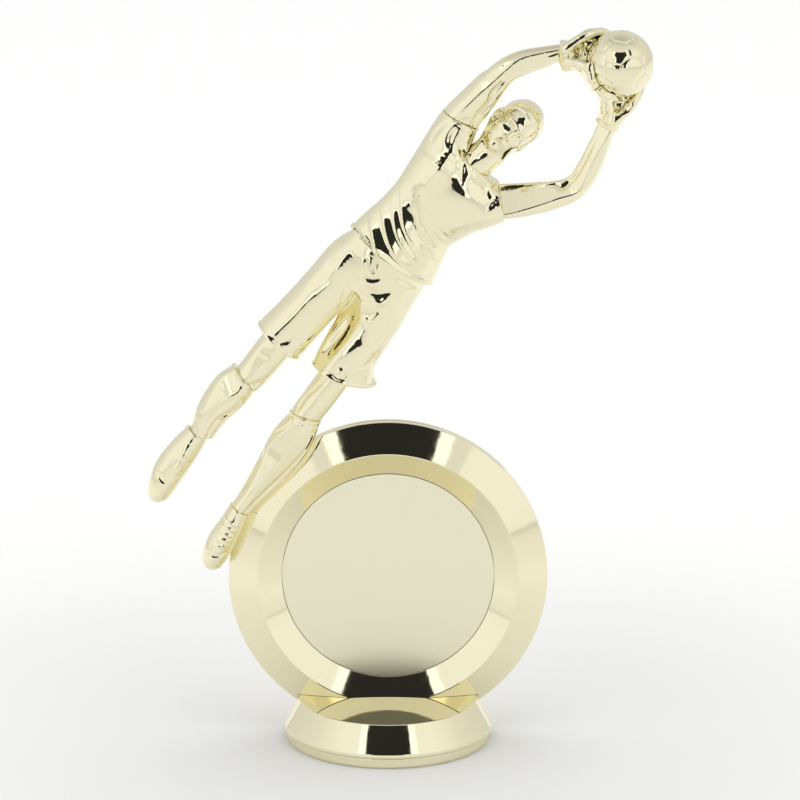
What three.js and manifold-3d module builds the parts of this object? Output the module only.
// Figure trophy: a goalkeeper diving for a ball, standing on the rim of a round holder for a two-inch
// insert, on a flared round base that a bolt holds to a plinth. Millimetres, +Z up. The trophy's front
// looks along -Y. The insides of this file put X = 0 on the base's axis, and the exported group is
// shifted so that the origin is the middle of the whole trophy's footprint.
import * as THREE from "three";
import Module from "manifold-3d";
import { mergeVertices } from "three/addons/utils/BufferGeometryUtils.js";

const wasm = await Module();
wasm.setup();

// ---- Driving dimensions ----
const INSERT_DIAMETER = 50.8; // a standard two-inch disc
const INSERT_THICKNESS = 0.9;
const GAP = 0.3; // between any two pieces that are glued or rest on each other
const BASE_AXIS_X = -2.3; // where the base's axis stands, seen from the middle of the whole footprint

// Base
const BASE_TOP_Z = 9.9;
const BASE_TOP_RADIUS = 21.4;
const BASE_WIDE_RADIUS = 25.2;
const BASE_WIDE_Z = 2.9;
const SKIRT_BOTTOM_Z = 2.4;
const SKIRT_WALL = 1.7;
const FOOT_RADIUS = 24.5;
const FOOT_TOP_Z = SKIRT_BOTTOM_Z - GAP;
const FOOT_RECESS_RADIUS = 20.5;
const FOOT_RECESS_DEPTH = 0.6;
const SPIGOT_RADIUS = 21.4;
const SPIGOT_WALL = 1.4;
const SPIGOT_TOP_Z = 4.2;

// Quarter-inch nut in the foot, for the bolt from the plinth
const BOLT_RADIUS = 6.35 / 2;
const NUT_ACROSS_FLATS = 11.1;
const NUT_HEIGHT = 4;
const NUT_BOTTOM_Z = FOOT_TOP_Z + GAP;
const BOSS_RADIUS = 8.6;
const BOSS_TOP_Z = NUT_BOTTOM_Z + NUT_HEIGHT;

// Holder: a bevelled ring closed by a back plate, upright and square to Y
const HOLDER_Z = 39.7;
const HOLDER_RADIUS = 38.25;
const RIDGE_RADIUS = 31.15;
const POCKET_RADIUS = INSERT_DIAMETER / 2 + GAP;
const INSERT_Y = 1.8; // the insert's face
const RIDGE_Y = INSERT_Y - 3.32;
const RIM_FRONT_Y = INSERT_Y - 0.1;
const EDGE_BREAK = 0.1; // half the flat on a broken edge
const RIM_BREAK = 0.15;
const SEAM_Y = 3.3; // the back of the ring
const BACK_Y = 4.8; // the back of the back plate
const PAD_THICKNESS = 0.3;
const LOCATING_PINS = 3;
const PIN_CIRCLE_RADIUS = 34.4;
const PIN_RADIUS = 0.9;
const PIN_LENGTH = 1.3;
const TONGUE_WIDTH = 18;
const TONGUE_BOTTOM_Z = 7;

// Ball
const BALL_CENTRE = [54.0, -3, 165.8];
const BALL_RADIUS = 7.85;

// How fine the round shapes are
const HOLDER_SEGMENTS = 64;
const LIMB_SIDES = 18;
const RING_STEPS = 3;

// ---- Colours ----
const gold = new THREE.MeshStandardMaterial({ color: 0xe3d7a3, roughness: 0.08, metalness: 1 });
const satinGold = new THREE.MeshStandardMaterial({ color: 0xdcd3aa, roughness: 0.35, metalness: 1 });
const steel = new THREE.MeshStandardMaterial({ color: 0x9a9c9e, roughness: 0.35, metalness: 1 });
const foam = new THREE.MeshStandardMaterial({ color: 0xf2f0ea, roughness: 0.9, metalness: 0 });

// ---- Solids ----
// A three.js geometry as a manifold-3d solid: only positions are kept, and shared vertices are merged.
function solid(geometry) {
  const bare = new THREE.BufferGeometry().setAttribute(
    "position",
    (geometry.index ? geometry.toNonIndexed() : geometry).getAttribute("position"),
  );
  const merged = mergeVertices(bare, 1e-3);
  return new wasm.Manifold(
    new wasm.Mesh({
      numProp: 3,
      vertProperties: merged.attributes.position.array,
      triVerts: new Uint32Array(merged.index.array),
    }),
  );
}

// The other way round, for a THREE.Mesh.
function geometryOf(shape) {
  const { vertProperties, triVerts } = shape.getMesh();
  const geometry = new THREE.BufferGeometry();
  geometry.setAttribute("position", new THREE.BufferAttribute(vertProperties, 3));
  geometry.setIndex(new THREE.BufferAttribute(triVerts, 1));
  geometry.computeVertexNormals();
  return geometry;
}

const joined = (...shapes) => shapes.reduce((whole, shape) => whole.add(shape));

// A body of revolution about Z from [radius, z] points, listed anticlockwise in the half plane.
function turned(profile, segments = HOLDER_SEGMENTS) {
  const points = profile.map(([radius, height]) => new THREE.Vector2(radius, height));
  return solid(new THREE.LatheGeometry(points, segments).rotateX(Math.PI / 2));
}

// The same about the holder's axis, from [radius, y] points.
function turnedAboutHolder(profile, segments = HOLDER_SEGMENTS) {
  const points = profile.map(([radius, y]) => new THREE.Vector2(radius, y));
  return solid(new THREE.LatheGeometry(points, segments).translate(0, 0, HOLDER_Z));
}

function cylinder(radius, length, segments, centre) {
  const shape = new THREE.CylinderGeometry(radius, radius, length, segments);
  return solid(shape.rotateX(Math.PI / 2).translate(...centre));
}

function box(low, high) {
  const size = high.map((h, i) => h - low[i]);
  const centre = high.map((h, i) => (h + low[i]) / 2);
  return solid(new THREE.BoxGeometry(...size).translate(...centre));
}

// A limb or garment through rings, each [x, y, z, half width, half depth]. The width lies across the limb
// in the XZ plane. Swollen by a gap, the same rings make the socket that the limb sits in.
function limb(rings, swollen = 0, sides = LIMB_SIDES, steps = RING_STEPS) {
  const spans = rings.length - 1;
  const spine = new THREE.CatmullRomCurve3(rings.map(([x, y, z]) => new THREE.Vector3(x, y, z)));
  const girth = new THREE.CatmullRomCurve3(rings.map(([, , , w, d]) => new THREE.Vector3(w, d, 0)));
  const levels = spans * steps;
  const shape = new THREE.CylinderGeometry(1, 1, 1, sides, levels);
  const position = shape.getAttribute("position");
  for (let i = 0; i < position.count; i++) {
    const level = Math.round((position.getY(i) + 0.5) * levels);
    const tangent = spine.getTangent(level / levels);
    const { x: halfWidth, y: halfDepth } = girth.getPoint(level / levels);
    const across = new THREE.Vector3(0, 1, 0).cross(tangent).normalize();
    const deep = across.clone().cross(tangent);
    const place = spine.getPoint(level / levels);
    if (level === 0) place.addScaledVector(tangent, -swollen);
    if (level === levels) place.addScaledVector(tangent, swollen);
    place.addScaledVector(across, position.getX(i) * (halfWidth + swollen));
    place.addScaledVector(deep, position.getZ(i) * (halfDepth + swollen));
    position.setXYZ(i, ...place.toArray());
  }
  return solid(shape);
}

// A finger or peg: a rod with round ends from one point to another, with a radius at each.
function rod(from, to, startRadius, endRadius, segments = 10) {
  const start = new THREE.Vector3(...from);
  const run = new THREE.Vector3(...to).sub(start);
  const length = run.length();
  const steps = 3;
  const profile = [];
  for (let i = 0; i <= steps; i++) {
    const angle = -Math.PI / 2 + (i / steps) * (Math.PI / 2);
    profile.push(new THREE.Vector2(startRadius * Math.cos(angle), startRadius * Math.sin(angle)));
  }
  for (let i = 0; i <= steps; i++) {
    const angle = (i / steps) * (Math.PI / 2);
    profile.push(new THREE.Vector2(endRadius * Math.cos(angle), length + endRadius * Math.sin(angle)));
  }
  profile[0].x = 0;
  profile.at(-1).x = 0;
  const shape = new THREE.LatheGeometry(profile, segments);
  const turn = new THREE.Quaternion().setFromUnitVectors(new THREE.Vector3(0, 1, 0), run.normalize());
  return solid(shape.applyQuaternion(turn).translate(...start.toArray()));
}

function sphere(radius, centre, segments) {
  return solid(new THREE.SphereGeometry(radius, segments, segments / 2).translate(...centre));
}

const trophy = new THREE.Group();

function add(name, shape, material) {
  const mesh = new THREE.Mesh(geometryOf(shape), material);
  mesh.name = name;
  trophy.add(mesh);
}

// ---- Base ----
// The outside of the base's skirt, or of its envelope when it is grown by a gap.
function skirtOutline(grown = 0) {
  return [
    [BASE_WIDE_RADIUS - 0.4 + grown, SKIRT_BOTTOM_Z - grown],
    [BASE_WIDE_RADIUS + grown, BASE_WIDE_Z],
    [BASE_WIDE_RADIUS - 0.1 + grown, BASE_WIDE_Z + 0.7],
    [BASE_TOP_RADIUS + 0.2 + grown, BASE_TOP_Z - 0.4],
    [BASE_TOP_RADIUS - 0.2 + grown, BASE_TOP_Z + grown],
  ];
}

// All the room the base takes up, down to the table.
const baseEnvelope = turned([
  [0, -1],
  [BASE_WIDE_RADIUS + GAP, -1],
  ...skirtOutline(GAP).slice(1),
  [0, BASE_TOP_Z + GAP],
]);

function makeTongue(grown = 0) {
  return box(
    [-TONGUE_WIDTH / 2 - grown, SEAM_Y + GAP - grown, TONGUE_BOTTOM_Z - grown],
    [TONGUE_WIDTH / 2 + grown, BACK_Y + grown, BASE_TOP_Z + 4],
  );
}

function makeSkirt() {
  const ceiling = BASE_TOP_Z - SKIRT_WALL;
  const innerBottom = [BASE_WIDE_RADIUS - SKIRT_WALL - 0.6, SKIRT_BOTTOM_Z];
  const shell = turned([
    [0, ceiling],
    [BASE_TOP_RADIUS - SKIRT_WALL, ceiling],
    innerBottom,
    ...skirtOutline(),
    [0, BASE_TOP_Z],
  ]);
  return shell.subtract(makeTongue(GAP));
}

function hexagon(acrossFlats, bottom, top) {
  const radius = acrossFlats / Math.sqrt(3);
  return cylinder(radius, top - bottom, 6, [0, 0, (top + bottom) / 2]);
}

// The foot closes the skirt from below. Its underside is a flat ring, and its boss keeps the nut from
// turning.
function makeFoot() {
  const boltHole = BOLT_RADIUS + 0.6;
  const plate = turned([
    [boltHole, FOOT_RECESS_DEPTH],
    [FOOT_RECESS_RADIUS, FOOT_RECESS_DEPTH],
    [FOOT_RECESS_RADIUS, 0],
    [FOOT_RADIUS - 0.2, 0],
    [FOOT_RADIUS, 0.3],
    [FOOT_RADIUS, FOOT_TOP_Z],
    [SPIGOT_RADIUS, FOOT_TOP_Z],
    [SPIGOT_RADIUS, SPIGOT_TOP_Z],
    [SPIGOT_RADIUS - SPIGOT_WALL, SPIGOT_TOP_Z],
    [SPIGOT_RADIUS - SPIGOT_WALL, FOOT_TOP_Z],
    [BOSS_RADIUS, FOOT_TOP_Z],
    [BOSS_RADIUS, BOSS_TOP_Z],
    [boltHole, BOSS_TOP_Z],
    [boltHole, FOOT_RECESS_DEPTH],
  ]);
  return plate.subtract(hexagon(NUT_ACROSS_FLATS + 2 * GAP, FOOT_TOP_Z, BOSS_TOP_Z + 1));
}

function makeNut() {
  const body = hexagon(NUT_ACROSS_FLATS, NUT_BOTTOM_Z, NUT_BOTTOM_Z + NUT_HEIGHT);
  return body.subtract(cylinder(BOLT_RADIUS, 3 * NUT_HEIGHT, 24, [0, 0, NUT_BOTTOM_Z]));
}

add("base_skirt", makeSkirt(), gold);
add("foot_plate", makeFoot(), gold);
add("captive_nut", makeNut(), steel);

// ---- Holder ----
// The ring's bevels rise to a ridge. Grown by a gap, it is the shape that the left sock and boot are cut
// back from.
const ringSection = [
  [POCKET_RADIUS, SEAM_Y],
  [POCKET_RADIUS, INSERT_Y],
  [RIDGE_RADIUS - EDGE_BREAK, RIDGE_Y],
  [RIDGE_RADIUS + EDGE_BREAK, RIDGE_Y],
  [HOLDER_RADIUS - EDGE_BREAK, RIM_FRONT_Y],
  [HOLDER_RADIUS, RIM_FRONT_Y + RIM_BREAK],
  [HOLDER_RADIUS, SEAM_Y],
  [POCKET_RADIUS, SEAM_Y],
];

const holderEnvelope = turnedAboutHolder([
  [0, RIDGE_Y - GAP],
  [RIDGE_RADIUS + 2 * EDGE_BREAK, RIDGE_Y - GAP],
  [HOLDER_RADIUS + GAP, RIM_FRONT_Y - GAP],
  [HOLDER_RADIUS + GAP, BACK_Y + GAP],
  [0, BACK_Y + GAP],
]);

function pinCentres() {
  return Array.from({ length: LOCATING_PINS }, (_, i) => {
    const angle = Math.PI / 2 + (i * 2 * Math.PI) / LOCATING_PINS;
    return [PIN_CIRCLE_RADIUS * Math.cos(angle), HOLDER_Z + PIN_CIRCLE_RADIUS * Math.sin(angle)];
  });
}

// A peg along Y from the seam into the ring.
function locatingPin([x, z], grown = 0) {
  const length = PIN_LENGTH + GAP + 2 * grown;
  const shape = new THREE.CylinderGeometry(PIN_RADIUS + grown, PIN_RADIUS + grown, length, 10);
  return solid(shape.translate(x, SEAM_Y + GAP - length / 2 + grown, z));
}

function makeRing() {
  const holes = pinCentres().map((centre) => locatingPin(centre, GAP));
  const ring = turnedAboutHolder(ringSection).subtract(baseEnvelope);
  return holes.reduce((left, hole) => left.subtract(hole), ring);
}

function makeBackPlate() {
  const plate = turnedAboutHolder([
    [0, SEAM_Y + GAP],
    [HOLDER_RADIUS, SEAM_Y + GAP],
    [HOLDER_RADIUS, BACK_Y - RIM_BREAK],
    [HOLDER_RADIUS - RIM_BREAK, BACK_Y],
    [0, BACK_Y],
  ]);
  const pins = pinCentres().map((centre) => locatingPin(centre));
  return joined(plate.subtract(baseEnvelope), makeTongue(), ...pins);
}

function makeDisc(radius, front, thickness) {
  return turnedAboutHolder([
    [0, front],
    [radius, front],
    [radius, front + thickness],
    [0, front + thickness],
  ]);
}

add("holder_ring", makeRing(), gold);
add("holder_back", makeBackPlate(), gold);
add("insert_disc", makeDisc(INSERT_DIAMETER / 2, INSERT_Y, INSERT_THICKNESS), satinGold);
add("insert_pad", makeDisc(INSERT_DIAMETER / 2 - 2, INSERT_Y + INSERT_THICKNESS + GAP, PAD_THICKNESS), foam);

// ---- Figure ----
// He lies along a slope, front towards -Y, his right side uppermost. Pieces meet where his clothing ends:
// each limb runs on into the next piece as a peg, with a gap all round.
const rightSleeve = [
  [12.2, 0.5, 142.4, 5.6, 5.4],
  [14.3, 0.5, 147.4, 5.4, 5.1],
  [16.7, 0.5, 151.2, 4.9, 4.8],
];
const leftSleeve = [
  [17.6, -0.5, 133.6, 6.4, 5.6],
  [22.2, -0.7, 131.6, 5.5, 5.2],
  [26.6, -0.8, 131.8, 4.5, 4.6],
];
const torso = [
  [0.85, 0, 119.2, 11.7, 6.6],
  [4.0, 0, 123.9, 10.3, 6.1],
  [7.2, 0, 128.1, 9.8, 6.0],
  [12.0, 0, 132.9, 11.6, 7.0],
  [16.8, 0, 137.9, 10.6, 6.7],
  [20.6, 0, 142.0, 5.8, 4.8],
];
const neck = [
  [17.8, 0.3, 139.0, 3.2, 3.2],
  [21.8, 0, 142.3, 4.2, 4.0],
  [24.8, -0.3, 145.0, 4.0, 3.9],
  [28.4, -0.6, 148.6, 3.8, 4.2],
];
const rightArm = [
  [14.4, 0.5, 147.8, 3.4, 3.4],
  [17.2, 0.5, 152.4, 4.5, 4.3],
  [22.2, 0.4, 157.5, 3.9, 3.9],
  [27.0, 0.2, 163.0, 3.15, 3.2],
  [31.6, 0, 165.4, 2.9, 3.0],
  [39.8, 0, 167.5, 2.2, 2.3],
  [42.2, 0, 168.0, 1.8, 1.8],
];
const leftArm = [
  [23.4, -0.8, 132.6, 3.3, 3.3],
  [27.6, -0.8, 132.1, 4.1, 4.2],
  [32.6, -0.8, 132.5, 4.0, 4.0],
  [38.2, -0.8, 133.6, 3.5, 3.5],
  [43.2, -0.8, 135.3, 3.1, 3.2],
  [46.6, -0.8, 139.2, 2.8, 2.9],
  [51.3, -0.6, 149.9, 2.35, 2.4],
  [52.2, -0.5, 152.4, 1.9, 1.9],
];
const waistPlug = [
  [4.2, 0, 123.6, 7.8, 4.0],
  [0.9, 0, 119.4, 9.6, 4.9],
  [-1.2, 0, 116.6, 9.4, 4.8],
];
const pelvis = [
  [0.7, 0, 119.0, 10.2, 5.4],
  [-1.6, 0, 116.2, 11.4, 6.3],
  [-3.6, 0, 112.4, 10.8, 6.4],
  [-5.4, 0, 108.9, 8.6, 5.6],
];
const rightShort = [
  [-3.6, 0, 120.0, 5.4, 5.2],
  [-9.0, 0, 117.0, 6.1, 6.0],
  [-14.6, 0.3, 111.0, 5.8, 5.9],
  [-20.4, 0.6, 104.6, 5.7, 5.6],
  [-26.1, 1, 98.4, 5.8, 5.7],
];
const leftShort = [
  [0.4, 0, 113.6, 8.6, 5.8],
  [-3.2, 0, 106.0, 8.4, 6.2],
  [-6.6, 0, 99.6, 7.7, 6.0],
  [-9.3, 0, 94.0, 7.0, 5.8],
  [-10.5, 0, 90.1, 7.7, 6.0],
];
const rightLeg = [
  [-23.4, 1, 101.3, 3.8, 3.8],
  [-26.5, 1, 97.9, 4.2, 4.2],
  [-29.8, 1, 93.4, 4.1, 4.2],
  [-32.2, 1, 89.9, 3.6, 3.7],
  [-34.2, 1, 87.6, 2.9, 2.9],
];
const leftLeg = [
  [-11.0, 0, 93.2, 3.7, 3.8],
  [-13.0, 0, 89.2, 3.9, 4.1],
  [-16.8, 0, 84.0, 3.7, 3.9],
  [-19.2, 0, 80.7, 3.4, 3.5],
  [-21.0, 0, 77.9, 2.8, 2.8],
];
const rightSock = [
  [-32.3, 1, 90.3, 4.1, 4.1],
  [-33.6, 1, 88.6, 4.3, 4.4],
  [-36.8, 1, 85.3, 4.8, 4.7],
  [-41.0, 1, 80.4, 4.1, 4.2],
  [-44.4, 1, 75.0, 3.1, 3.3],
  [-46.8, 1, 71.6, 2.4, 2.4],
];
const leftSock = [
  [-19.0, 0, 81.0, 4.0, 4.0],
  [-20.3, -0.2, 79.0, 4.2, 4.3],
  [-23.4, -0.5, 73.5, 4.9, 4.8],
  [-27.6, -0.8, 66.9, 3.9, 4.1],
  [-33.0, -0.8, 60.0, 2.6, 3.0],
  [-36.4, -0.6, 55.6, 2.2, 2.6],
  [-38.0, -0.5, 53.2, 1.8, 2.0],
];
const rightBoot = [
  [-45.6, 1, 75.4, 3.2, 3.5],
  [-48.2, 1, 71.8, 3.6, 3.6],
  [-51.7, 1, 67.1, 3.6, 3.6],
  [-53.9, 1, 62.9, 3.1, 3.3],
  [-54.9, 1, 60.2, 2.3, 2.6],
  [-55.2, 1, 58.9, 1.2, 1.4],
];
const leftBoot = [
  [-36.0, -0.6, 57.2, 2.8, 3.2],
  [-38.4, -0.5, 53.0, 3.3, 3.4],
  [-40.7, -0.4, 48.7, 3.3, 3.4],
  [-41.7, -0.3, 45.2, 2.8, 3.0],
  [-42.1, -0.3, 43.0, 2.0, 2.2],
  [-42.2, -0.3, 42.0, 1.0, 1.2],
];

// A gloved hand is a cuff, a palm and chains of rods round the ball. The palm and the chains are placed
// in ball radii from the ball's centre. The web is the skin between finger and thumb, and meets the other
// hand's.
const POCKET_SIDES = 24;
const FINGER_SIDES = 6;
const FINGER_RADII = [1.35, 0.95];
const THUMB_RADII = [1.3, 1.0];
const WEB_RADII = [1.6, 1.75];
const rightHand = {
  cuff: [
    [40.2, 0, 167.6, 2.7, 2.7],
    [41.6, 0.2, 167.9, 3.1, 3.1],
    [43.0, 0.4, 168.3, 2.8, 2.8],
    [44.4, 0.6, 168.6, 2.0, 2.0],
  ],
  palm: { centre: [-0.95, 0.5, 0.42], size: [3.8, 1.7, 3.4] },
  fingers: [
    [[-1.6, 0.05, 0.44], [-1.07, 0.1, 0.8], [-0.7, 0.36, 0.87], [-0.42, 0.7, 0.78], [-0.15, 0.94, 0.6]],
    [[-1.6, 0.25, 0.24], [-1.12, 0.5, 0.46], [-0.78, 0.76, 0.46], [-0.4, 1.02, 0.38], [0, 1.1, 0.22]],
    [[-1.6, 0.3, 0.05], [-1.12, 0.55, 0.14], [-0.82, 0.8, 0.1], [-0.4, 1.06, 0.02], [0, 1.12, -0.12]],
    [[-1.58, 0.2, -0.1], [-1.12, 0.45, -0.14], [-0.86, 0.72, -0.28], [-0.52, 0.95, -0.36], [-0.16, 1.05, -0.42]],
  ],
  thumb: [[-1.55, -0.1, 0.08], [-1.22, -0.32, 0.05], [-0.97, -0.54, -0.06], [-0.9, -0.62, -0.36]],
  web: [[-1.45, 0.05, 0.12], [-1.0, 0, -0.22], [-0.74, 0, -0.7]],
  side: 1,
};
const leftHand = {
  cuff: [
    [51.7, -0.6, 150.8, 2.7, 2.8],
    [52.3, -0.5, 152.2, 3.0, 3.1],
    [52.7, -0.3, 153.6, 2.7, 2.8],
    [53.0, 0, 154.8, 2.0, 2.0],
  ],
  palm: { centre: [0.12, 0.5, -1.1], size: [3.6, 1.7, 2.8] },
  fingers: [
    [[-0.16, 0.05, -1.78], [0.22, 0.1, -1.42], [0.5, 0.22, -1.08], [0.64, 0.54, -0.76], [0.72, 0.78, -0.38]],
    [[-0.22, 0.28, -1.75], [0.12, 0.5, -1.25], [0.34, 0.76, -0.82], [0.46, 0.96, -0.44]],
    [[-0.32, 0.3, -1.75], [-0.08, 0.55, -1.22], [0.06, 0.82, -0.82], [0.14, 1.05, -0.42]],
    [[-0.42, 0.22, -1.72], [-0.28, 0.48, -1.2], [-0.22, 0.76, -0.82], [-0.16, 1.02, -0.46]],
  ],
  thumb: [[-0.38, -0.15, -1.65], [-0.34, -0.38, -1.24], [-0.42, -0.56, -0.97], [-0.62, -0.64, -0.72]],
  web: [[-0.36, 0.1, -1.5], [-0.42, 0.05, -1.08], [-0.74, 0, -0.7]],
  side: -1,
};

function aroundBall(place) {
  return place.map((p, i) => BALL_CENTRE[i] + BALL_RADIUS * p);
}

// Rods from each place to the next, growing thinner or thicker evenly.
function chain(places, [first, last]) {
  const spans = places.length - 1;
  const radius = (i) => first + ((last - first) * i) / spans;
  const ends = places.map((place) => aroundBall(place));
  const links = ends.slice(1).map((to, i) => rod(ends[i], to, radius(i), radius(i + 1), FINGER_SIDES));
  return joined(...links);
}

function makePalm({ centre, size }) {
  return solid(new THREE.SphereGeometry(1, 16, 8).scale(...size).translate(...aroundBall(centre)));
}

// The two gloves meet on a plane through the ball's middle. This is all that lies on one glove's side of
// it.
function handSide(side) {
  const reach = 40;
  const block = new THREE.BoxGeometry(2 * reach, 2 * reach, 2 * reach).translate(0, 0, reach + GAP / 2);
  const turn = new THREE.Quaternion().setFromUnitVectors(
    new THREE.Vector3(0, 0, 1),
    new THREE.Vector3(-0.66 * side, 0, 0.75 * side).normalize(),
  );
  return solid(block.applyQuaternion(turn).translate(...BALL_CENTRE));
}

function makeGlove({ cuff, palm, fingers, thumb, web, side }, arm) {
  const digits = fingers.map((finger) => chain(finger, FINGER_RADII));
  const grip = [makePalm(palm), chain(thumb, THUMB_RADII), chain(web, WEB_RADII)];
  const whole = joined(limb(cuff), ...grip, ...digits).intersect(handSide(side));
  return whole.subtract(sphere(BALL_RADIUS + GAP, BALL_CENTRE, POCKET_SIDES)).subtract(limb(arm, GAP));
}

// The head stands on a frame of its own: up towards the crown, out towards his right ear, and forward.
const HEAD_CENTRE = [29.9, -0.9, 150.6];
const HEAD_TILT = THREE.MathUtils.degToRad(34); // of the crown's direction above +X
const HEAD_LENGTH = 13.6; // chin to crown

function onHead(geometry) {
  const turn = new THREE.Matrix4().makeBasis(
    new THREE.Vector3(-Math.sin(HEAD_TILT), 0, Math.cos(HEAD_TILT)),
    new THREE.Vector3(0, -1, 0),
    new THREE.Vector3(Math.cos(HEAD_TILT), 0, Math.sin(HEAD_TILT)),
  );
  return solid(geometry.applyMatrix4(turn).translate(...HEAD_CENTRE));
}

// A rounded lump of the head, in head lengths from the head's middle: towards his right, forward and up.
function lump(centre, size, segments = 16) {
  const shape = new THREE.SphereGeometry(1, segments, segments / 2).rotateX(Math.PI / 2);
  shape.scale(...size.map((s) => s * HEAD_LENGTH));
  return onHead(shape.translate(...centre.map((c) => c * HEAD_LENGTH)));
}

function makeHead() {
  const ears = [1, -1].map((side) => lump([0.375 * side, -0.03, -0.08], [0.05, 0.06, 0.11], 10));
  const eyes = [1, -1].map((side) => lump([0.15 * side, 0.31, 0.0], [0.065, 0.05, 0.04], 8));
  return joined(
    lump([0, -0.04, 0.12], [0.385, 0.43, 0.38], 24),
    lump([0, 0.1, -0.16], [0.29, 0.29, 0.34], 20),
    lump([0, 0.29, 0.06], [0.24, 0.09, 0.05], 12),
    lump([0, 0.37, -0.12], [0.055, 0.09, 0.12], 10),
    lump([0, 0.35, -0.29], [0.11, 0.05, 0.035], 10),
    lump([0, 0.28, -0.4], [0.12, 0.1, 0.08], 10),
    ...ears,
    ...eyes,
    limb(neck),
  );
}

function makeShirt() {
  const cloth = joined(limb(torso, 0, 32), limb(rightSleeve), limb(leftSleeve));
  return [neck, rightArm, leftArm, waistPlug].reduce((shirt, peg) => shirt.subtract(limb(peg, GAP)), cloth);
}

function makeShorts() {
  const cloth = joined(limb(pelvis, 0, 28), limb(rightShort), limb(leftShort, 0, 24));
  const clear = cloth.subtract(limb(torso, GAP, 32)).add(limb(waistPlug));
  return clear.subtract(limb(rightLeg, GAP)).subtract(limb(leftLeg, GAP));
}

add("head", makeHead(), gold);
add("shirt", makeShirt(), gold);
add("right_arm", limb(rightArm), gold);
add("left_arm", limb(leftArm), gold);
add("right_glove", makeGlove(rightHand, rightArm), gold);
add("left_glove", makeGlove(leftHand, leftArm), gold);
add("ball", sphere(BALL_RADIUS, BALL_CENTRE, 32), gold);
add("shorts", makeShorts(), gold);
add("right_leg", limb(rightLeg), gold);
add("left_leg", limb(leftLeg), gold);
add("right_sock", limb(rightSock).subtract(limb(rightLeg, GAP)), gold);
add("left_sock", limb(leftSock).subtract(limb(leftLeg, GAP)).subtract(holderEnvelope), gold);
add("right_boot", limb(rightBoot).subtract(limb(rightSock, GAP)), gold);
add("left_boot", limb(leftBoot).subtract(limb(leftSock, GAP)).subtract(holderEnvelope), gold);

trophy.position.x = BASE_AXIS_X;
export default trophy;
